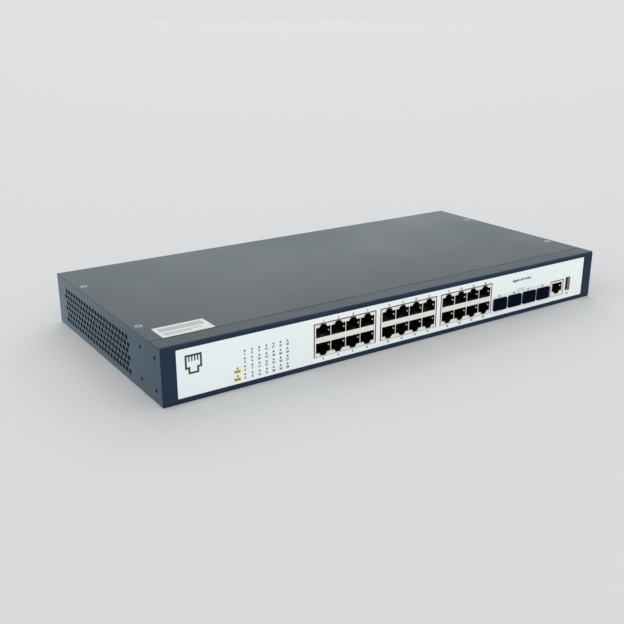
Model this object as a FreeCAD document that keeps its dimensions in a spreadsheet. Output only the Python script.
import FreeCAD
import Part
import math
import os
import re
import Sketcher
from FreeCAD import Placement, Rotation, Vector

# A 24-port network switch, one rack unit high. X runs to the right as the front is faced, Y runs to the
# rear and Z up, all in millimetres. The origin is the centre of the underside of the casing.

SIZES = {
    # folded sheet-metal casing
    "body_width": 440, "body_depth": 210, "body_height": 43.6,
    "sheet_gauge": 1, "seam_gap": 0.05, "lid_gap": 0.7, "bend_radius": 1.5, "edge_radius": 0.9,
    "side_flange": 14, "foot_flange": 10, "front_lip": 16, "front_foot": 8, "lid_lip": 8, "lid_lip_gap": 2,
    "tongue_reach": 6, "tongue_overlap": 3, "tongue_width": 50, "tongue_left_x": -70,
    "tongue_centre_x": 73, "tongue_right_x": 180,
    "lid_screw_inset": 6.25, "lid_screw_front": -55.7, "lid_screw_pitch": 112,
    "screw_head_radius": 3.05, "screw_shank_radius": 1.4, "screw_head_height": 1.6, "screw_length": 6,
    "screw_sink": 0.02, "screw_play": 0.05, "drive_width": 0.8, "drive_length": 3.4, "drive_depth": 1.1,
    "thread_play": 0.05, "flange_dimple_depth": 0.6, "flange_dimple_step": 0.8, "flange_dimple_play": 0.2,
    # how far a cutting shape runs past the faces it opens
    "cut_overrun": 1,
    # side vents and the tapped holes of the rack ears
    "vent_radius": 2.35, "vent_pitch": 6.125, "vent_row_pitch": 5.22, "vent_columns": 23,
    "vent_first_y": -49.25, "vent_first_z": 7.5,
    "ear_hole_radius": 1.65, "ear_pitch": 24.5, "ear_first_y": -95.8, "ear_first_z": 9.55,
    "ear_collar_radius": 2.8, "ear_collar_depth": 1.5, "ear_collar_root": 0.5,
    # printed front label and the sticker on the lid
    "label_width": 416.8, "label_height": 36, "label_bottom": 3.8, "label_gauge": 0.3,
    "label_corner": 0.7, "label_margin": 0.4,
    "sticker_x": -189, "sticker_front": -87.75, "sticker_width": 40.5, "sticker_depth": 20.7,
    "sticker_gauge": 0.12, "sticker_corner": 1,
    # indicator matrix
    "led_first_x": -155.4, "led_pitch_x": 6, "led_low_z": 9.7, "led_pitch_z": 6.1, "led_radius": 0.65,
    "status_led_x": -161.5, "led_hole_radius": 0.75, "led_length": 4.2, "led_foot_radius": 1.2,
    "led_board_x": -140.4, "led_board_width": 58, "led_board_front": -100, "led_board_height": 30,
    "led_board_bottom": 6, "led_header_width": 25.4, "led_header_depth": 4, "led_header_height": 2.5,
    # circuit board, its standoffs and screws
    "board_gauge": 1.6, "board_top": 8.4, "board_left": -98, "board_right": 206, "board_front": -103,
    "board_rear": 85, "wing_left": -172, "wing_front": -97, "wing_rear": -6,
    "standoff_radius": 3, "stud_radius": 1.5, "board_hole_radius": 1.7, "pan_head_radius": 2.8,
    "pan_head_height": 2, "board_screw_length": 6, "film_gauge": 0.4, "film_margin": 2,
    "film_front_margin": 4, "film_rear_margin": 6, "film_hole_play": 0.5,
    # four-column, two-row jack blocks
    "jack_middle_x": -3.2, "jack_pitch": 63.3, "jack_width": 57.4, "jack_height": 26.1, "jack_depth": 33,
    "jack_window_width": 59.2, "jack_window_height": 27.2, "jack_window_bottom": 8.1,
    "shield_gauge": 0.3, "port_pitch": 13.95, "port_width": 13.1, "port_height": 7.9, "port_depth": 14,
    "low_port_z": 11.4, "high_port_z": 23.95, "shoulder_width": 6.6, "shoulder_step": 1.3,
    "clip_width": 4.6, "clip_step": 1.1, "port_play": 0.1,
    "pin_pitch": 1.02, "pin_count": 8, "pin_width": 0.4, "pin_gauge": 0.3, "pin_rise": 2,
    "pin_front": -103.4, "pin_reach": 12.7,
    # single console jack
    "console_x": 173.8, "console_width": 16.4, "console_height": 13.9, "console_depth": 16,
    "console_port_z": 12.75, "console_window_width": 18, "console_window_height": 15,
    # upright USB receptacle
    "usb_x": 188.35, "usb_bottom": 10.7, "usb_width": 6.7, "usb_height": 13.6, "usb_depth": 14,
    "usb_window_width": 6.1, "usb_window_height": 13, "usb_window_bottom": 11,
    "leaf_gauge": 1.8, "leaf_height": 11, "leaf_setback": 1, "leaf_offset": 1, "usb_back_depth": 3,
    "leaf_back_gap": 1, "usb_foot_depth": 2, "usb_foot_rise": 4, "usb_bridge_height": 3,
    "usb_strip_width": 1, "usb_strip_gauge": 0.2, "usb_strip_length": 8, "usb_strip_pitch": 2.33,
    "usb_strip_setback": 0.5,
    # optical module cages and their dust plugs
    "cage_first_x": 100, "cage_pitch": 18.2, "cage_width": 14.5, "cage_height": 10.4, "cage_depth": 48,
    "cage_bottom": 9.25, "cage_foot_setback": 6, "cage_foot_length": 38,
    "cage_window_width": 14.8, "cage_window_height": 10.7, "cage_window_bottom": 9.1,
    "cage_panel_left": 89.7, "cage_panel_right": 163.4,
    "edge_connector_width": 11.4, "edge_connector_depth": 8, "edge_connector_height": 6,
    "edge_connector_gap": 1, "edge_slot_width": 10, "edge_slot_depth": 5, "edge_slot_height": 1.4,
    "edge_slot_rise": 2.7,
    "plug_width": 16.1, "plug_height": 11.1, "plug_flange": 1.4, "plug_gap": 0.1, "plug_corner": 1.4,
    "plug_stem_width": 12.7, "plug_stem_height": 8.6, "plug_stem_length": 10, "plug_wall": 0.8,
    "plug_grip_radius": 2.9, "plug_grip_depth": 0.7, "plug_grip_rib": 0.9,
    # power inlet at the rear, and the earth screw beside it
    "inlet_x": -185, "inlet_z": 21.8, "inlet_flange_width": 48, "inlet_flange_height": 23,
    "inlet_flange_gauge": 2.8, "inlet_body_width": 27, "inlet_body_height": 19.6, "inlet_body_depth": 22,
    "inlet_mouth_width": 24, "inlet_mouth_height": 16.4, "inlet_mouth_depth": 16,
    "inlet_screw_pitch": 40, "inlet_screw_radius": 1.5, "inlet_screw_length": 7.8,
    "inlet_head_radius": 2.7, "inlet_head_height": 1.8, "inlet_clearance": 0.3,
    "inlet_pin_width": 2, "inlet_pin_height": 4, "inlet_pin_pitch": 7, "inlet_pin_offset": 2,
    "inlet_pin_play": 0.02, "inlet_pin_tail": 4,
    "earth_x": -140, "earth_z": 14, "earth_radius": 2, "earth_reach": 5, "earth_washer_radius": 4.5,
    "earth_washer_gauge": 0.8, "earth_head_radius": 3.6, "earth_head_height": 2.4, "earth_slot_width": 1,
    "earth_slot_length": 5, "earth_slot_depth": 1, "earth_nut_height": 3,
    # mains power supply
    "power_left": -206, "power_width": 96, "power_front": 4, "power_depth": 60,
    "mains_header_x": 60, "mains_header_y": 52, "mains_header_width": 12, "mains_header_depth": 8,
    "mains_header_height": 10, "dc_header_width": 8, "dc_header_depth": 16, "dc_header_height": 9,
    "dc_output_x": 88, "dc_output_y": 30, "dc_input_x": -84, "dc_input_y": 10, "dc_pin_pitch": 3.96,
    "mains_lead_radius": 0.9, "dc_lead_radius": 0.8,
    # finned heatsinks
    "sink_plate_gauge": 2.5, "sink_fin_gauge": 1.2, "sink_fin_edge": 0.6, "sink_overlap": 0.5,
    "phy_sink_width": 16, "phy_sink_front": -60, "phy_sink_gauge": 2, "phy_sink_rise": 1.6,
    "phy_fin_height": 8, "phy_fin_pitch": 3.7,
}

parts = []
doc = FreeCAD.newDocument("NetworkSwitch")
sheet = doc.addObject("Spreadsheet::Sheet", "Sizes")
AXIS_TURN = {
    "X": Rotation(Vector(0, 1, 0), 90),
    "Y": Rotation(Vector(1, 0, 0), -90),
    "Z": Rotation(),
}


def fill_sheet():
    for row, (alias, number) in enumerate(SIZES.items(), start=1):
        sheet.set(f"A{row}", alias)
        sheet.set(f"B{row}", str(number))
        sheet.setAlias(f"B{row}", alias)
    doc.recompute()


def settle():
    """Recompute until nothing waits: a row of features can need its first copy to be ready."""
    for _ in range(3):
        if doc.recompute() == 0:
            return


def size(alias):
    return float(sheet.get(alias))


def bind(item, prop, text):
    """Bind a property to a formula in which every word with an underscore is a cell of the sheet."""
    item.setExpression(prop, re.sub(r"[a-z]+(?:_[a-z]+)+", r"Sizes.\g<0>", str(text)))


def place(item, x, y, z):
    for axis, text in zip("xyz", (x, y, z)):
        bind(item, f"Placement.Base.{axis}", text)


def new_body(label):
    body = doc.addObject("PartDesign::Body", label)
    body.Label = label
    body.AllowCompound = True
    parts.append(body)
    return body


def origin_of(body, role):
    return next(item for item in body.Origin.OriginFeatures if item.Role == role)


def block(body, name, centre_x, front_y, bottom_z, width, depth, height, cut=False):
    """A box given by the middle of its width, its front face and its underside."""
    kind = "PartDesign::SubtractiveBox" if cut else "PartDesign::AdditiveBox"
    box = body.newObject(kind, name)
    for prop, text in (("Length", width), ("Width", depth), ("Height", height)):
        bind(box, prop, text)
    place(box, f"({centre_x}) - ({width}) / 2", front_y, bottom_z)
    return box


def rod(body, name, base, radius, length, axis="Z", cut=False):
    """A cylinder that starts at base and runs along a positive axis."""
    kind = "PartDesign::SubtractiveCylinder" if cut else "PartDesign::AdditiveCylinder"
    cylinder = body.newObject(kind, name)
    cylinder.Placement = Placement(Vector(), AXIS_TURN[axis])
    bind(cylinder, "Radius", radius)
    bind(cylinder, "Height", length)
    place(cylinder, *base)
    return cylinder


def cone(body, name, base, low_radius, high_radius, height, cut=False):
    kind = "PartDesign::SubtractiveCone" if cut else "PartDesign::AdditiveCone"
    item = body.newObject(kind, name)
    for prop, text in (("Radius1", low_radius), ("Radius2", high_radius), ("Height", height)):
        bind(item, prop, text)
    place(item, *base)
    return item


def repeat(body, features, *steps):
    """Repeat each feature in rows, each step being an axis, a spacing and a count."""
    for feature in features:
        multi = body.newObject("PartDesign::MultiTransform", feature.Name + "_rows")
        rows = []
        for axis, spacing, count in steps:
            row = body.newObject("PartDesign::LinearPattern", f"{feature.Name}_row_{axis.lower()}")
            row.Direction = (origin_of(body, axis + "_Axis"), [""])
            row.Mode = "Spacing"
            bind(row, "Offset", spacing)
            bind(row, "Occurrences", count)
            rows.append(row)
        multi.Originals = [feature]
        multi.Transformations = rows
        body.Tip = multi


def soften(body, name, radius, axis, chosen):
    """Round the straight edges along an axis whose middles pass the chosen test."""
    settle()
    feature = body.Tip
    direction = {"X": Vector(1, 0, 0), "Y": Vector(0, 1, 0), "Z": Vector(0, 0, 1)}[axis]
    edges = []
    for number, edge in enumerate(feature.Shape.Edges, start=1):
        if edge.Curve.TypeId == "Part::GeomLine" and abs(edge.Curve.Direction.dot(direction)) > 0.999:
            if chosen(edge.BoundBox.Center):
                edges.append(f"Edge{number}")
    fillet = body.newObject("PartDesign::Fillet", name)
    fillet.Base = (feature, edges)
    bind(fillet, "Radius", radius)
    return fillet


def profile(body, name, plane, points, offset="0"):
    """A closed sketch of straight lines whose corners are pairs of formulas."""
    sketch = body.newObject("Sketcher::SketchObject", name)
    sketch.AttachmentSupport = [(origin_of(body, plane), "")]
    sketch.MapMode = "FlatFace"
    bind(sketch, "AttachmentOffset.Base.z", offset)
    count = len(points)
    spots = [Rotation(Vector(0, 0, 1), 360 * k / count).multVec(Vector(50, 0, 0)) for k in range(count)]
    sketch.addGeometry([Part.LineSegment(spots[k], spots[(k + 1) % count]) for k in range(count)], False)
    for k in range(count):
        sketch.addConstraint(Sketcher.Constraint("Coincident", k, 2, (k + 1) % count, 1))
    for k, corner in enumerate(points):
        for direction, text in zip(("DistanceX", "DistanceY"), corner):
            start = getattr(spots[k], direction[-1].lower())
            number = sketch.addConstraint(Sketcher.Constraint(direction, -1, 1, k, 1, start))
            bind(sketch, f"Constraints[{number}]", text)
    return sketch


def pad(body, name, sketch, length, symmetric=True):
    feature = body.newObject("PartDesign::Pad", name)
    feature.Profile = sketch
    feature.SideType = "Symmetric" if symmetric else "One side"
    bind(feature, "Length", length)
    return feature


# ---- casing ----

def base_tray():
    """Floor and rear wall, folded from one sheet."""
    body = new_body("base_tray")
    front, rear, top = "-body_depth / 2", "body_depth / 2", "body_height - sheet_gauge - seam_gap"
    outline = [
        (front, "0"), (rear, "0"), (rear, top), (f"{rear} - sheet_gauge", top),
        (f"{rear} - sheet_gauge", "sheet_gauge"), (front, "sheet_gauge"),
    ]
    pad(body, "tray_fold", profile(body, "tray_outline", "YZ_Plane", outline),
        "body_width - 2 * sheet_gauge - 2 * seam_gap")
    low_rear = size("body_depth") / 2 - size("bend_radius")
    soften(body, "tray_bend", "bend_radius", "X", lambda spot: spot.z < 0.1 and spot.y > low_rear)
    wall = f"{rear} - 2 * sheet_gauge"
    block(body, "inlet_window", "inlet_x", wall, "inlet_z - inlet_body_height / 2 - inlet_clearance",
          "inlet_body_width + 2 * inlet_clearance", "4 * sheet_gauge",
          "inlet_body_height + 2 * inlet_clearance", cut=True)
    hole = rod(body, "inlet_hole", ("inlet_x - inlet_screw_pitch / 2", wall, "inlet_z"),
               "inlet_screw_radius", "4 * sheet_gauge", "Y", cut=True)
    repeat(body, [hole], ("X", "inlet_screw_pitch", 2))
    rod(body, "earth_hole", ("earth_x", wall, "earth_z"), "earth_radius", "4 * sheet_gauge", "Y", cut=True)


def side_panel(label, side):
    """Side wall with an inward flange at the top and one at the floor, vents and rack-ear holes."""
    body = new_body(label)
    outer = f"{side} * body_width / 2"
    inner = f"{side} * (body_width / 2 - sheet_gauge)"
    roof = "body_height - sheet_gauge"
    outline = [
        (outer, "0"), (outer, roof), (f"{side} * (body_width / 2 - side_flange)", roof),
        (f"{side} * (body_width / 2 - side_flange)", f"{roof} - sheet_gauge"),
        (inner, f"{roof} - sheet_gauge"), (inner, "2 * sheet_gauge"),
        (f"{side} * (body_width / 2 - foot_flange)", "2 * sheet_gauge"),
        (f"{side} * (body_width / 2 - foot_flange)", "sheet_gauge"), (inner, "sheet_gauge"), (inner, "0"),
    ]
    pad(body, label + "_fold", profile(body, label + "_outline", "XZ_Plane", outline), "body_depth")
    half = size("body_width") / 2 - 0.1
    soften(body, label + "_bends", "edge_radius", "Y", lambda spot: abs(spot.x) > half)
    relief_x = f"{side} * (body_width / 2 - sheet_gauge - side_flange / 2)"
    for end, front in (("front", "-body_depth / 2 - cut_overrun"),
                       ("rear", "body_depth / 2 - sheet_gauge - seam_gap")):
        block(body, f"{label}_{end}_relief", relief_x, front, "-cut_overrun", "side_flange",
              "sheet_gauge + seam_gap + cut_overrun", "body_height + 2 * cut_overrun", cut=True)
    base_x, reach = f"{side} * body_width / 2 - 2 * cut_overrun", "4 * cut_overrun"
    long_row = rod(body, label + "_vent", (base_x, "vent_first_y", "vent_first_z"),
                   "vent_radius", reach, "X", cut=True)
    repeat(body, [long_row], ("Y", "vent_pitch", "vent_columns"), ("Z", "2 * vent_row_pitch", 3))
    short_start = ("vent_first_y + vent_pitch / 2", "vent_first_z + vent_row_pitch")
    short_row = rod(body, label + "_offset_vent", (base_x, *short_start), "vent_radius", reach, "X", cut=True)
    repeat(body, [short_row], ("Y", "vent_pitch", "vent_columns - 1"), ("Z", "2 * vent_row_pitch", 3))
    if side > 0:
        collar_x = "body_width / 2 - sheet_gauge - ear_collar_depth"
    else:
        collar_x = "ear_collar_root - body_width / 2"
    collar = rod(body, label + "_collar", (collar_x, "ear_first_y", "ear_first_z"),
                 "ear_collar_radius", "ear_collar_depth + ear_collar_root", "X")
    square = ("Y", "ear_pitch", 2), ("Z", "ear_pitch", 2)
    repeat(body, [collar], *square)
    bore = rod(body, label + "_ear_hole", (f"{side} * body_width / 2 - 4 * cut_overrun", "ear_first_y",
               "ear_first_z"), "ear_hole_radius", "8 * cut_overrun", "X", cut=True)
    repeat(body, [bore], *square)
    sink_x = f"{side} * (body_width / 2 - lid_screw_inset)"
    sink = cone(body, label + "_sink", (sink_x, "lid_screw_front", f"{roof} - flange_dimple_depth"),
                "screw_shank_radius + flange_dimple_play", "screw_head_radius - flange_dimple_step",
                "flange_dimple_depth", cut=True)
    thread = rod(body, label + "_thread", (sink_x, "lid_screw_front", f"{roof} - 2 * sheet_gauge"),
                 "screw_shank_radius + thread_play", "3 * sheet_gauge", cut=True)
    repeat(body, [sink, thread], ("Y", "lid_screw_pitch", 2))


def cut_windows(body, front_y, depth):
    """The openings for jacks, sockets and indicators, alike in the front panel and its label."""
    jack = block(body, body.Name + "_jack_window", "jack_middle_x - jack_pitch", front_y,
                 "jack_window_bottom", "jack_window_width", depth, "jack_window_height", cut=True)
    repeat(body, [jack], ("X", "jack_pitch", 3))
    block(body, body.Name + "_console_window", "console_x", front_y, "jack_window_bottom",
          "console_window_width", depth, "console_window_height", cut=True)
    block(body, body.Name + "_usb_window", "usb_x", front_y, "usb_window_bottom", "usb_window_width",
          depth, "usb_window_height", cut=True)
    port_led = rod(body, body.Name + "_led_hole", ("led_first_x", front_y, "led_low_z"),
                   "led_hole_radius", depth, "Y", cut=True)
    repeat(body, [port_led], ("X", "led_pitch_x", 7), ("Z", "led_pitch_z", 4))
    status_led = rod(body, body.Name + "_status_hole", ("status_led_x", front_y, "led_low_z"),
                     "led_hole_radius", depth, "Y", cut=True)
    repeat(body, [status_led], ("Z", "led_pitch_z", 2))


def front_panel():
    """Channel-shaped front with a wide top flange that covers the side walls."""
    body = new_body("front_panel")
    face, foot, roof = "-body_depth / 2", "sheet_gauge + seam_gap", "body_height - sheet_gauge"
    outline = [
        (face, foot), (f"{face} + front_foot", foot), (f"{face} + front_foot", f"{foot} + sheet_gauge"),
        (f"{face} + sheet_gauge", f"{foot} + sheet_gauge"), (f"{face} + sheet_gauge", roof),
        (f"{face} + front_lip", roof), (f"{face} + front_lip", "body_height"), (face, "body_height"),
    ]
    pad(body, "front_fold", profile(body, "front_outline", "YZ_Plane", outline), "body_width")
    near_top, near_face = size("body_height") - 0.1, 0.1 - size("body_depth") / 2
    soften(body, "front_bend", "bend_radius", "X", lambda spot: spot.z > near_top and spot.y < near_face)
    end = block(body, "front_end", "-body_width / 2", f"{face} - cut_overrun", "-cut_overrun",
                "2 * sheet_gauge + 2 * seam_gap", "front_lip + 2 * cut_overrun", f"{roof} + cut_overrun",
                cut=True)
    foot_end = block(body, "front_foot_end", "-body_width / 2", f"{face} + sheet_gauge", "0",
                     "2 * foot_flange + cut_overrun", "front_lip", "3 * sheet_gauge", cut=True)
    repeat(body, [end, foot_end], ("X", "body_width", 2))
    block(body, "label_recess", "0", f"{face} - cut_overrun", "label_bottom - label_margin",
          "label_width + 2 * label_margin", "label_gauge + cut_overrun",
          "label_height + 2 * label_margin", cut=True)
    half, floor = size("label_width") / 2, size("label_gauge") - size("body_depth") / 2
    soften(body, "recess_corners", "label_corner + label_margin", "Y",
           lambda spot: half < abs(spot.x) < half + 1 and spot.y < floor and spot.z > 3)
    cut_windows(body, f"{face} - cut_overrun", "sheet_gauge + 2 * cut_overrun")
    block(body, "cage_panel_opening", "(cage_panel_left + cage_panel_right) / 2", f"{face} - cut_overrun",
          "label_bottom", "cage_panel_right - cage_panel_left", "sheet_gauge + 2 * cut_overrun",
          "label_height", cut=True)
    cage_panel(body)


def cage_panel(body):
    """Flat pieces behind the label that frame the four cages, each a seam away from its neighbours."""
    front, gauge = "-body_depth / 2 + label_gauge", "sheet_gauge - label_gauge"
    middle = "(cage_panel_left + cage_panel_right) / 2"
    width = "cage_panel_right - cage_panel_left - 2 * seam_gap"
    window_top = "(cage_window_bottom + cage_window_height)"
    block(body, "cage_sill", middle, front, "label_bottom + seam_gap", width, gauge,
          "cage_window_bottom - label_bottom - seam_gap")
    block(body, "cage_lintel", middle, front, window_top, width, gauge,
          f"label_bottom + label_height - {window_top} - seam_gap")
    post_bottom, post_height = "cage_window_bottom + seam_gap", "cage_window_height - 2 * seam_gap"
    row_left = "(cage_first_x - cage_window_width / 2)"
    row_right = "(cage_first_x + 3 * cage_pitch + cage_window_width / 2)"
    for side, near, far in (("left", "cage_panel_left", row_left), ("right", row_right, "cage_panel_right")):
        block(body, f"cage_{side}_post", f"({near} + {far}) / 2", front, post_bottom,
              f"{far} - {near} - 2 * seam_gap", gauge, post_height)
    post = block(body, "cage_post", "cage_first_x + cage_pitch / 2", front, post_bottom,
                 "cage_pitch - cage_window_width", gauge, post_height)
    repeat(body, [post], ("X", "cage_pitch", 3))


def front_label():
    """Printed film that lies flush in the recess of the front panel."""
    body = new_body("front_label")
    block(body, "label_film", "0", "-body_depth / 2", "label_bottom", "label_width", "label_gauge",
          "label_height")
    soften(body, "label_corners", "label_corner", "Y", lambda spot: True)
    cut_windows(body, "-body_depth / 2 - cut_overrun", "label_gauge + 2 * cut_overrun")
    cage = block(body, "label_cage_window", "cage_first_x", "-body_depth / 2 - cut_overrun",
                 "cage_window_bottom", "cage_window_width", "label_gauge + 2 * cut_overrun",
                 "cage_window_height", cut=True)
    repeat(body, [cage], ("X", "cage_pitch", 4))


def top_cover():
    """Flat lid with three tongues that slip under the front flange, and a lip at the rear."""
    body = new_body("top_cover")
    front, roof = "-body_depth / 2 + front_lip + lid_gap", "body_height - sheet_gauge"
    block(body, "lid_plate", "0", front, roof, "body_width", "body_depth - front_lip - lid_gap",
          "sheet_gauge")
    for name in ("left", "centre", "right"):
        block(body, f"tongue_{name}", f"tongue_{name}_x", f"{front} - tongue_reach",
              f"{roof} - sheet_gauge", "tongue_width", "tongue_reach + tongue_overlap", "sheet_gauge")
    block(body, "lid_rear_lip", "0", "body_depth / 2 - 2 * sheet_gauge - seam_gap", f"{roof} - lid_lip",
          "body_width - 2 * side_flange - 2 * lid_lip_gap", "sheet_gauge", "lid_lip")
    sink = cone(body, "lid_sink", ("lid_screw_inset - body_width / 2", "lid_screw_front", roof),
                "screw_head_radius - sheet_gauge", "screw_head_radius + screw_play", "sheet_gauge", cut=True)
    repeat(body, [sink], ("X", "body_width - 2 * lid_screw_inset", 2), ("Y", "lid_screw_pitch", 2))


def cover_screws():
    """Four countersunk screws with cross recesses."""
    body = new_body("cover_screws")
    x, y, top = "lid_screw_inset - body_width / 2", "lid_screw_front", "(body_height - screw_sink)"
    head = cone(body, "screw_head", (x, y, f"{top} - screw_head_height"), "screw_shank_radius",
                "screw_head_radius - screw_play", "screw_head_height")
    shank = rod(body, "screw_shank", (x, y, f"{top} - screw_length"), "screw_shank_radius",
                "screw_length - cut_overrun")
    floor, height = f"{top} - drive_depth", "drive_depth + cut_overrun"
    slots = [
        block(body, "slot_wide", x, f"{y} - drive_width / 2", floor, "drive_length", "drive_width", height,
              cut=True),
        block(body, "slot_deep", x, f"{y} - drive_length / 2", floor, "drive_width", "drive_length", height,
              cut=True),
    ]
    repeat(body, [head, shank, *slots], ("X", "body_width - 2 * lid_screw_inset", 2),
           ("Y", "lid_screw_pitch", 2))


def serial_sticker():
    body = new_body("serial_sticker")
    block(body, "sticker_film", "sticker_x", "sticker_front", "body_height", "sticker_width",
          "sticker_depth", "sticker_gauge")
    soften(body, "sticker_corners", "sticker_corner", "Z", lambda spot: True)


# ---- jacks and sockets ----

def port_hole(body, name, centre_x, floor_z, latch_up, front_y, depth, play="0"):
    """One stepped jack opening: a wide mouth, a shoulder and a narrow slot for the plug's latch."""
    mouth = block(body, name + "_mouth", centre_x, front_y, f"{floor_z} - {play}",
                  f"port_width + 2 * {play}", depth, f"port_height + 2 * {play}", cut=True)
    steps = (("shoulder", "shoulder_width", "shoulder_step"),
             ("slot", "clip_width", "(shoulder_step + clip_step)"))
    holes = [mouth]
    for step, width, reach in steps:
        bottom = f"{floor_z} + port_height" if latch_up else f"{floor_z} - {reach} - {play}"
        holes.append(block(body, f"{name}_{step}", centre_x, front_y, bottom, f"{width} + 2 * {play}",
                           depth, f"{reach} + {play}", cut=True))
    return holes


def block_ports(body, front_y, depth, play="0"):
    """The eight openings of a jack block, latches up above and down below."""
    first_x = "-1.5 * port_pitch"
    upper = port_hole(body, body.Name + "_upper", first_x, "high_port_z", True, front_y, depth, play)
    lower = port_hole(body, body.Name + "_lower", first_x, "low_port_z", False, front_y, depth, play)
    repeat(body, upper + lower, ("X", "port_pitch", 4))


def shield_shell(body, width, depth, height):
    """Thin metal can, open underneath, round a jack housing."""
    face = "-body_depth / 2"
    block(body, body.Name + "_can", "0", face, "board_top", width, depth, height)
    block(body, body.Name + "_room", "0", f"{face} + shield_gauge", "board_top - cut_overrun",
          f"{width} - 2 * shield_gauge", f"{depth} - 2 * shield_gauge",
          f"{height} - shield_gauge + cut_overrun", cut=True)


def spring_wire(body, name, first_x, front_z, rear_z, ports):
    """A row of sloping contact wires, eight to a port."""
    rear_y = "pin_front + pin_reach"
    slope = [
        ("pin_front", front_z), (rear_y, rear_z), (rear_y, f"{rear_z} + pin_gauge"),
        ("pin_front", f"{front_z} + pin_gauge"),
    ]
    sketch = profile(body, name + "_outline", "YZ_Plane", slope, f"{first_x} - 3.5 * pin_pitch")
    wire = pad(body, name + "_wire", sketch, "pin_width")
    repeat(body, [wire], ("X", "pin_pitch", "pin_count"), ("X", "port_pitch", ports))


def jack_block(number):
    """Housing, shield and contacts of one block of eight jacks."""
    centre_x = f"jack_middle_x + {number - 2} * jack_pitch"
    face = "-body_depth / 2 + shield_gauge"
    housing = new_body(f"rj45_housing_{number}")
    block(housing, f"housing_{number}", "0", face, "board_top", "jack_width - 2 * shield_gauge",
          "jack_depth - 2 * shield_gauge", "jack_height - shield_gauge")
    block_ports(housing, f"{face} - cut_overrun", "port_depth + cut_overrun")
    shield = new_body(f"rj45_shield_{number}")
    shield_shell(shield, "jack_width", "jack_depth", "jack_height")
    block_ports(shield, "-body_depth / 2 - cut_overrun", "shield_gauge + 1.5 * cut_overrun", "port_play")
    contacts = new_body(f"rj45_contacts_{number}")
    spring_wire(contacts, f"upper_{number}", "-1.5 * port_pitch", "high_port_z", "high_port_z + pin_rise", 4)
    ceiling = "low_port_z + port_height - pin_gauge"
    spring_wire(contacts, f"lower_{number}", "-1.5 * port_pitch", ceiling, f"{ceiling} - pin_rise", 4)
    for body in (housing, shield, contacts):
        place(body, centre_x, "0", "0")


def console_jack():
    """Single jack for the service console, its latch down."""
    face = "-body_depth / 2 + shield_gauge"
    housing = new_body("console_housing")
    block(housing, "console_block", "0", face, "board_top", "console_width - 2 * shield_gauge",
          "console_depth - 2 * shield_gauge", "console_height - shield_gauge")
    port_hole(housing, "console", "0", "console_port_z", False, f"{face} - cut_overrun",
              "port_depth + cut_overrun")
    shield = new_body("console_shield")
    shield_shell(shield, "console_width", "console_depth", "console_height")
    port_hole(shield, "console_face", "0", "console_port_z", False, "-body_depth / 2 - cut_overrun",
              "shield_gauge + 1.5 * cut_overrun", "port_play")
    contacts = new_body("console_contacts")
    ceiling = "console_port_z + port_height - pin_gauge"
    spring_wire(contacts, "console_row", "0", ceiling, f"{ceiling} - pin_rise", 1)
    for body in (housing, shield, contacts):
        place(body, "console_x", "0", "0")


def usb_socket():
    """Upright receptacle behind the front sheet: metal shell, plastic leaf and four contact strips."""
    face, wall = "(sheet_gauge + seam_gap - body_depth / 2)", "shield_gauge"
    inner_width, inner_height = f"usb_width - 2 * {wall}", f"usb_height - 2 * {wall}"
    shell = new_body("usb_shell")
    block(shell, "usb_can", "usb_x", face, "usb_bottom", "usb_width", "usb_depth", "usb_height")
    block(shell, "usb_mouth", "usb_x", f"{face} - cut_overrun", f"usb_bottom + {wall}", inner_width,
          "usb_depth + 2 * cut_overrun", inner_height, cut=True)
    leaf = new_body("usb_leaf")
    block(leaf, "usb_back", "usb_x", f"{face} + usb_depth - usb_back_depth", f"usb_bottom + {wall}",
          inner_width, "usb_back_depth", inner_height)
    block(leaf, "usb_blade", "usb_x + leaf_offset", f"{face} + leaf_setback",
          "usb_bottom + usb_height / 2 - leaf_height / 2", "leaf_gauge",
          "usb_depth - leaf_setback - leaf_back_gap", "leaf_height")
    block(leaf, "usb_foot", "usb_x", f"{face} + usb_depth", "board_top", "usb_width",
          "usb_foot_depth", "usb_bottom - board_top + usb_foot_rise")
    block(leaf, "usb_bridge", "usb_x", f"{face} + usb_depth - usb_foot_depth", f"usb_bottom + {wall}",
          inner_width, "1.5 * usb_foot_depth", "usb_bridge_height")
    contacts = new_body("usb_contacts")
    first_z = "usb_bottom + usb_height / 2 - 1.5 * usb_strip_pitch - usb_strip_width / 2"
    strip = block(contacts, "usb_strip", "usb_x + leaf_offset - leaf_gauge / 2 - usb_strip_gauge / 2",
                  f"{face} + leaf_setback + usb_strip_setback", first_z, "usb_strip_gauge",
                  "usb_strip_length", "usb_strip_width")
    repeat(contacts, [strip], ("Z", "usb_strip_pitch", 4))


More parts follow.
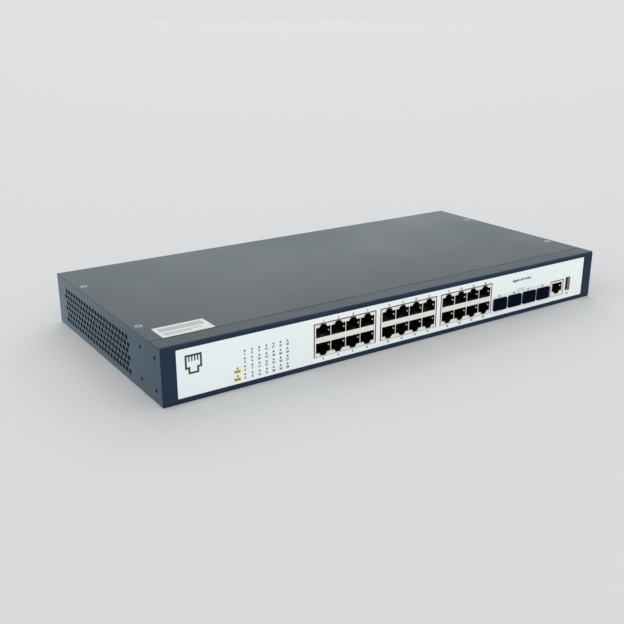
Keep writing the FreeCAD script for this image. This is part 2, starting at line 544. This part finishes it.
def module_cage(number):
    """Pressed cage for an optical module, and the dust plug that closes it."""
    centre_x = f"cage_first_x + {number - 1} * cage_pitch"
    face = "-body_depth / 2"
    cage = new_body(f"sfp_cage_{number}")
    block(cage, f"cage_{number}", "0", face, "cage_bottom", "cage_width", "cage_depth", "cage_height")
    block(cage, f"cage_foot_{number}", "0", f"{face} + cage_foot_setback", "board_top", "cage_width",
          "cage_foot_length", "cage_bottom - board_top")
    block(cage, f"cage_room_{number}", "0", f"{face} - cut_overrun", "cage_bottom + shield_gauge",
          "cage_width - 2 * shield_gauge", "cage_depth - shield_gauge + cut_overrun",
          "cage_height - 2 * shield_gauge", cut=True)
    plug = new_body(f"dust_plug_{number}")
    middle_z = "(cage_bottom + cage_height / 2)"
    back = "(-body_depth / 2 - plug_gap)"
    block(plug, f"plug_flange_{number}", "0", f"{back} - plug_flange", f"{middle_z} - plug_height / 2",
          "plug_width", "plug_flange", "plug_height")
    soften(plug, f"plug_corners_{number}", "plug_corner", "Y", lambda spot: True)
    block(plug, f"plug_stem_{number}", "0", back, f"{middle_z} - plug_stem_height / 2", "plug_stem_width",
          "plug_stem_length", "plug_stem_height")
    block(plug, f"plug_hollow_{number}", "0", back, f"{middle_z} - plug_stem_height / 2 + plug_wall",
          "plug_stem_width - 2 * plug_wall", "plug_stem_length + cut_overrun",
          "plug_stem_height - 2 * plug_wall", cut=True)
    rod(plug, f"plug_dish_{number}", ("0", f"{back} - plug_flange - cut_overrun", middle_z),
        "plug_grip_radius", "plug_grip_depth + cut_overrun", "Y", cut=True)
    block(plug, f"plug_grip_{number}", "0", f"{back} - plug_flange", f"{middle_z} - plug_grip_radius",
          "plug_grip_rib", "plug_flange", "2 * plug_grip_radius")
    for body in (cage, plug):
        place(body, centre_x, "0", "0")


def sfp_connectors():
    """Edge connectors at the back of the four cages."""
    body = new_body("sfp_connectors")
    front = "cage_depth - body_depth / 2 - edge_connector_depth - edge_connector_gap"
    floor = "cage_bottom + shield_gauge"
    base = block(body, "edge_connector", "cage_first_x", front, floor, "edge_connector_width",
                 "edge_connector_depth", "edge_connector_height")
    slot = block(body, "edge_slot", "cage_first_x", f"{front} - cut_overrun", f"{floor} + edge_slot_rise",
                 "edge_slot_width", "edge_slot_depth + cut_overrun", "edge_slot_height", cut=True)
    repeat(body, [base, slot], ("X", "cage_pitch", 4))


# ---- indicators ----

def indicator_leds(label, first_x, columns, rows):
    """Domed indicators whose tips end flush with the label."""
    body = new_body(label)
    lens = rod(body, label + "_lens", (first_x, "-body_depth / 2", "led_low_z"), "led_radius",
               "led_length", "Y")
    grid = ("X", "led_pitch_x", columns), ("Z", "led_pitch_z", rows)
    repeat(body, [lens], *grid)
    foot = rod(body, label + "_foot", (first_x, "-body_depth / 2 + led_length", "led_low_z"),
               "led_foot_radius", "led_board_front + body_depth / 2 - led_length", "Y")
    repeat(body, [foot], *grid)


def led_board():
    """Upright board behind the label, joined to the main board by a pin header."""
    body = new_body("led_board")
    block(body, "led_panel", "led_board_x", "led_board_front", "led_board_bottom", "led_board_width",
          "board_gauge", "led_board_height")
    header = new_body("led_header")
    block(header, "led_header_block", "led_board_x", "led_board_front + board_gauge", "board_top",
          "led_header_width", "led_header_depth", "led_header_height")


# ---- circuit boards ----

BOARD_HOLES = ((-90, -62), (-90, 75), (30, 75), (198, 75), (198, -62), (92, -20), (-160, -20))
POWER_HOLES = ((4, 4), (92, 4), (4, 56), (92, 56))


def power_spot(offset):
    """A place on the power board, measured from its front left corner."""
    return f"power_left + {offset[0]}", f"power_front + {offset[1]}"


def board_spots():
    return list(BOARD_HOLES) + [power_spot(offset) for offset in POWER_HOLES]


def drill(body, spots):
    for number, (x, y) in enumerate(spots, start=1):
        rod(body, f"{body.Name}_hole_{number}", (x, y, "board_top - board_gauge - cut_overrun"),
            "board_hole_radius", "board_gauge + 2 * cut_overrun", cut=True)


def main_board():
    body = new_body("main_board")
    outline = [
        ("board_left", "board_front"), ("board_right", "board_front"), ("board_right", "board_rear"),
        ("board_left", "board_rear"), ("board_left", "wing_rear"), ("wing_left", "wing_rear"),
        ("wing_left", "wing_front"), ("board_left", "wing_front"),
    ]
    sketch = profile(body, "board_outline", "XY_Plane", outline, "board_top - board_gauge")
    pad(body, "board_panel", sketch, "board_gauge", symmetric=False)
    drill(body, BOARD_HOLES)


def power_board():
    body = new_body("power_board")
    block(body, "power_panel", "power_left + power_width / 2", "power_front", "board_top - board_gauge",
          "power_width", "power_depth", "board_gauge")
    drill(body, [power_spot(offset) for offset in POWER_HOLES])


def standoffs():
    """Pressed-in spacers on the floor under both boards."""
    body = new_body("board_standoffs")
    for number, (x, y) in enumerate(board_spots(), start=1):
        rod(body, f"standoff_{number}", (x, y, "sheet_gauge"), "standoff_radius",
            "board_top - board_gauge - sheet_gauge")
        rod(body, f"standoff_bore_{number}", (x, y, "2 * sheet_gauge"), "stud_radius", "board_top", cut=True)


def board_screws():
    body = new_body("board_screws")
    for number, (x, y) in enumerate(board_spots(), start=1):
        rod(body, f"board_screw_head_{number}", (x, y, "board_top"), "pan_head_radius", "pan_head_height")
        rod(body, f"board_screw_shank_{number}", (x, y, "board_top - board_screw_length"),
            "stud_radius - thread_play", "board_screw_length")
        block(body, f"board_screw_slot_{number}", x, f"{y} - drive_width / 2",
              "board_top + pan_head_height / 2", "drive_length", "drive_width", "pan_head_height", cut=True)


def insulation_sheet():
    """Film on the floor under the mains power board, cleared round the spacers."""
    body = new_body("insulation_sheet")
    block(body, "film", "power_left + power_width / 2", "power_front - film_front_margin",
          "sheet_gauge", "power_width + 2 * film_margin",
          "power_depth + film_front_margin + film_rear_margin", "film_gauge")
    for number, offset in enumerate(POWER_HOLES, start=1):
        rod(body, f"film_hole_{number}", (*power_spot(offset), "0"),
            "standoff_radius + film_hole_play", "4 * cut_overrun", cut=True)


def chips(label, places, bottom_z="board_top"):
    """Flat packages in one node, each given by its middle, width, depth and height."""
    body = new_body(label)
    for number, (x, y, width, depth, height) in enumerate(places, start=1):
        block(body, f"{label}_{number}", x, f"{y} - {depth} / 2", bottom_z, width, depth, height)


def heatsink(label, x, y, bottom_z, width, depth, height, fins):
    """Base plate with upright fins that run front to rear."""
    body = new_body(label)
    block(body, label + "_plate", x, f"{y} - {depth} / 2", bottom_z, width, depth, "sink_plate_gauge")
    foot = "sink_plate_gauge - sink_overlap"
    fin = block(body, label + "_fin", f"{x} - {width} / 2 + sink_fin_edge", f"{y} - {depth} / 2",
                f"{bottom_z} + {foot}", "sink_fin_gauge", depth, f"{height} - ({foot})")
    repeat(body, [fin], ("X", f"({width} - 2 * sink_fin_edge) / ({fins} - 1)", fins))


def cans(label, places):
    """Upright round capacitors, each given by its middle, radius and height."""
    body = new_body(label)
    for number, (x, y, radius, height) in enumerate(places, start=1):
        rod(body, f"{label}_{number}", (x, y, "board_top"), radius, height)


def board_parts():
    chips("switch_chip", [(20, -14, 27, 27, 2.4)])
    heatsink("switch_heatsink", "20", "-14", "board_top + 2.4", "40", "40", "16", 11)
    phy_middles = [f"jack_middle_x + {step} * jack_pitch" for step in (-1, 0, 1)]
    chips("board_chips", [(x, -52, 14, 14, 1.6) for x in phy_middles]
          + [(60, -2, 9, 13, 1.2), (60, 18, 9, 13, 1.2), (82, 8, 8, 6, 1.8)])
    sinks = new_body("phy_heatsinks")
    plate = block(sinks, "phy_plate", phy_middles[0], "phy_sink_front", "board_top + phy_sink_rise",
                  "phy_sink_width", "phy_sink_width", "phy_sink_gauge")
    repeat(sinks, [plate], ("X", "jack_pitch", 3))
    fin = block(sinks, "phy_fin", f"{phy_middles[0]} - 2 * phy_fin_pitch", "phy_sink_front",
                "board_top + phy_sink_rise + phy_sink_gauge - sink_overlap", "sink_fin_gauge",
                "phy_sink_width", "phy_fin_height")
    repeat(sinks, [fin], ("X", "phy_fin_pitch", 5), ("X", "jack_pitch", 3))
    chips("board_inductors", [(-60, 40, 10, 10, 5), (-40, 40, 10, 10, 5), (-60, 10, 7, 7, 4),
                              (120, 20, 7, 7, 4), (160, 40, 7, 7, 4)])
    cans("board_capacitors", [(-76, 28, 4, 11.5), (-76, 44, 4, 11.5), (-20, 44, 3.15, 8), (-8, 44, 3.15, 8),
                              (140, 20, 3.15, 8), (150, 20, 3.15, 8)])


def power_parts():
    """Components of the mains supply, placed from the front left corner of its board."""
    x, y = "power_left", "power_front"
    chips("power_transformer", [(f"{x} + 48", f"{y} + 30", 22, 24, 18)])
    cans("power_capacitors", [(f"{x} + 26", f"{y} + 30", 9, 25), (f"{x} + 76", f"{y} + 20", 5, 20),
                              (f"{x} + 76", f"{y} + 34", 5, 20)])
    heatsink("power_heatsink", f"{x} + 50", f"{y} + 9", "board_top", "30", "10", "20", 7)
    chips("power_choke", [(f"{x} + 14", f"{y} + 46", 14, 16, 16)])
    chips("suppression_capacitor", [(f"{x} + 30", f"{y} + 51", 7, 16, 14)])


# ---- power entry and internal leads ----

def inlet():
    """Recessed appliance inlet with three blades, held by two screws."""
    rear = "body_depth / 2"
    shell = new_body("inlet_housing")
    block(shell, "inlet_flange", "inlet_x", rear, "inlet_z - inlet_flange_height / 2", "inlet_flange_width",
          "inlet_flange_gauge", "inlet_flange_height")
    block(shell, "inlet_core", "inlet_x", f"{rear} - inlet_body_depth", "inlet_z - inlet_body_height / 2",
          "inlet_body_width", "inlet_body_depth + cut_overrun", "inlet_body_height")
    block(shell, "inlet_mouth", "inlet_x", f"{rear} + inlet_flange_gauge - inlet_mouth_depth",
          "inlet_z - inlet_mouth_height / 2", "inlet_mouth_width", "inlet_mouth_depth + cut_overrun",
          "inlet_mouth_height", cut=True)
    hole = rod(shell, "inlet_flange_hole",
               ("inlet_x - inlet_screw_pitch / 2", f"{rear} - cut_overrun", "inlet_z"),
               "inlet_screw_radius + 2 * thread_play", "inlet_flange_gauge + 2 * cut_overrun", "Y", cut=True)
    repeat(shell, [hole], ("X", "inlet_screw_pitch", 2))
    inlet_blades(shell, "inlet_pin_play", cut=True)
    inlet_blades(new_body("inlet_pins"), "0")


def inlet_blades(body, play, cut=False):
    """Two side blades and the earth blade above them, or the holes they are pressed into."""
    front = "body_depth / 2 - inlet_body_depth - inlet_pin_tail"
    low = "inlet_z - inlet_pin_height / 2"
    width, height = f"inlet_pin_width + 2 * {play}", f"inlet_pin_height + 2 * {play}"
    length = "inlet_body_depth + inlet_pin_tail - sheet_gauge"
    side_blade = block(body, body.Name + "_side_blade", "inlet_x - inlet_pin_pitch", front,
                       f"{low} - inlet_pin_offset - {play}", width, length, height, cut=cut)
    repeat(body, [side_blade], ("X", "2 * inlet_pin_pitch", 2))
    block(body, body.Name + "_earth_blade", "inlet_x", front, f"{low} + inlet_pin_offset - {play}", width,
          length, height, cut=cut)


def inlet_screws():
    body = new_body("inlet_screws")
    x, rear = "inlet_x - inlet_screw_pitch / 2", "body_depth / 2"
    pair = ("X", "inlet_screw_pitch", 2)
    head = rod(body, "inlet_screw_head", (x, f"{rear} + inlet_flange_gauge", "inlet_z"),
               "inlet_head_radius", "inlet_head_height", "Y")
    repeat(body, [head], pair)
    shank_end = f"({rear} + inlet_flange_gauge - inlet_screw_length)"
    shank = rod(body, "inlet_screw_shank", (x, shank_end, "inlet_z"), "inlet_screw_radius - thread_play",
                "inlet_screw_length + cut_overrun", "Y")
    repeat(body, [shank], pair)
    slot = block(body, "inlet_screw_slot", x, f"{rear} + inlet_flange_gauge + inlet_head_height / 2",
                 "inlet_z - drive_width / 2", "drive_length", "inlet_head_height", "drive_width", cut=True)
    repeat(body, [slot], pair)


def earth_screw():
    """Earthing point on the rear wall: screw, washer and an inner nut."""
    body = new_body("earth_screw")
    rear = "body_depth / 2"
    head = f"({rear} + earth_washer_gauge)"
    rod(body, "earth_washer", ("earth_x", rear, "earth_z"), "earth_washer_radius", "earth_washer_gauge", "Y")
    rod(body, "earth_head", ("earth_x", head, "earth_z"), "earth_head_radius", "earth_head_height", "Y")
    rod(body, "earth_shank", ("earth_x", f"{rear} - earth_reach", "earth_z"), "earth_radius - thread_play",
        "earth_reach + earth_washer_gauge + cut_overrun", "Y")
    block(body, "earth_slot", "earth_x", f"{head} + earth_head_height - earth_slot_depth",
          "earth_z - earth_slot_width / 2", "earth_slot_length", "2 * earth_slot_depth", "earth_slot_width",
          cut=True)
    nut = new_body("earth_nut")
    nut_end = f"({rear} - sheet_gauge - earth_nut_height)"
    rod(nut, "earth_nut_ring", ("earth_x", nut_end, "earth_z"), "earth_head_radius", "earth_nut_height", "Y")
    rod(nut, "earth_nut_bore", ("earth_x", f"{nut_end} - cut_overrun", "earth_z"), "earth_radius",
        "earth_nut_height + 2 * cut_overrun", "Y", cut=True)


def lead(route, radius):
    """Round wire along straight runs joined by tangent arcs."""
    points = [Vector(*spot) for spot in route]
    edges, start = [], points[0]
    for before, corner, after in zip(points, points[1:], points[2:]):
        arriving, leaving = corner - before, after - corner
        half_turn = arriving.getAngle(leaving) / 2
        trim = 0.45 * min(arriving.Length, leaving.Length)
        arriving.normalize()
        leaving.normalize()
        inward = (leaving - arriving).normalize()
        bend = trim / math.tan(half_turn)
        middle = corner + inward * (bend / math.cos(half_turn) - bend)
        arc_start, arc_end = corner - arriving * trim, corner + leaving * trim
        edges.append(Part.LineSegment(start, arc_start).toShape())
        edges.append(Part.Arc(arc_start, middle, arc_end).toShape())
        start = arc_end
    edges.append(Part.LineSegment(start, points[-1]).toShape())
    path = Part.Wire(edges)
    circle = Part.Wire([Part.Circle(points[0], points[1] - points[0], radius).toShape()])
    tube = path.makePipeShell([circle], True, True)
    expected = math.pi * radius ** 2 * path.Length
    if abs(tube.Volume / expected - 1) > 0.02:
        raise RuntimeError(f"a lead has volume {tube.Volume:.1f} instead of {expected:.1f}")
    return tube


def loose_leads(label, routes, radius):
    """Wires as one shape, because a swept path with many runs suits no single body feature."""
    wires = doc.addObject("Part::Feature", label)
    wires.Label = label
    wires.Shape = Part.makeCompound([lead(route, radius) for route in routes])
    parts.append(wires)


def leads():
    """Mains and low-voltage wiring between the inlet, the supply and the main board."""
    x, y, top = size("power_left"), size("power_front"), size("board_top")
    inlet_x, inlet_z = size("inlet_x"), size("inlet_z")
    pin_end = size("body_depth") / 2 - size("inlet_body_depth") - size("inlet_pin_tail")
    mains_x, mains_y = x + size("mains_header_x"), y + size("mains_header_y")
    mains_top = top + size("mains_header_height")
    mains = []
    for side in (-1, 1):
        pin_x, pin_z = inlet_x + side * size("inlet_pin_pitch"), inlet_z - size("inlet_pin_offset")
        end_x = mains_x + 3 * side
        mains.append([(pin_x, pin_end, pin_z), (pin_x, pin_end - 8, pin_z),
                      (end_x - 6, pin_end - 11, mains_top + 9 - side), (end_x, mains_y, mains_top + 9),
                      (end_x, mains_y, mains_top)])
    earth_x, earth_z = size("earth_x"), size("earth_z")
    shank_end = size("body_depth") / 2 - size("earth_reach")
    earth_pin_z = inlet_z + size("inlet_pin_offset")
    mains.append([(inlet_x, pin_end, earth_pin_z), (inlet_x, pin_end - 6, earth_pin_z),
                  (inlet_x + 28, pin_end + 2, earth_pin_z), (earth_x, shank_end - 10, earth_z),
                  (earth_x, shank_end, earth_z)])
    loose_leads("mains_leads", mains, size("mains_lead_radius"))
    header_top = top + size("dc_header_height")
    from_x, from_y = x + size("dc_output_x"), y + size("dc_output_y")
    to_x, to_y = size("dc_input_x"), size("dc_input_y")
    rows = []
    for step in (-1.5, -0.5, 0.5, 1.5):
        shift = step * size("dc_pin_pitch")
        rows.append([(from_x, from_y + shift, header_top), (from_x, from_y + shift, header_top + 8),
                     ((from_x + to_x) / 2, (from_y + to_y) / 2 + shift, header_top + 12),
                     (to_x, to_y + shift, header_top + 8), (to_x, to_y + shift, header_top)])
    loose_leads("dc_leads", rows, size("dc_lead_radius"))


def power_headers():
    """Connector blocks where the leads meet the boards."""
    body = new_body("power_headers")
    block(body, "mains_header", "power_left + mains_header_x",
          "power_front + mains_header_y - mains_header_depth / 2", "board_top", "mains_header_width",
          "mains_header_depth", "mains_header_height")
    for name, x, y in (("output", "power_left + dc_output_x", "power_front + dc_output_y"),
                       ("input", "dc_input_x", "dc_input_y")):
        block(body, f"dc_{name}", x, f"{y} - dc_header_depth / 2", "board_top", "dc_header_width",
              "dc_header_depth", "dc_header_height")


def check_document():
    """Stop before anything is written if an object failed or a shape is empty or broken."""
    for item in doc.Objects:
        if {"Invalid", "Error"} & set(item.State):
            raise RuntimeError(f"{item.Label} failed: {item.State}")
    for item in parts:
        if item.Shape.isNull() or not item.Shape.isValid() or not item.Shape.Solids:
            raise RuntimeError(f"{item.Label} has no valid solid")


def export_parts():
    os.makedirs("parts", exist_ok=True)
    for item in parts:
        item.Shape.exportStep(f"parts/{item.Label}.step")
        print(f"{item.Label}: {len(item.Shape.Solids)} solids, {item.Shape.Volume / 1000:.3f} cm3")


fill_sheet()
base_tray()
side_panel("side_panel_left", -1)
side_panel("side_panel_right", 1)
front_panel()
front_label()
top_cover()
cover_screws()
serial_sticker()
for block_number in (1, 2, 3):
    jack_block(block_number)
console_jack()
usb_socket()
for cage_number in (1, 2, 3, 4):
    module_cage(cage_number)
sfp_connectors()
indicator_leds("port_leds", "led_first_x", 7, 4)
indicator_leds("status_leds", "status_led_x", 1, 2)
led_board()
main_board()
power_board()
standoffs()
board_screws()
insulation_sheet()
board_parts()
power_parts()
power_headers()
inlet()
inlet_screws()
earth_screw()
leads()
settle()
check_document()
export_parts()
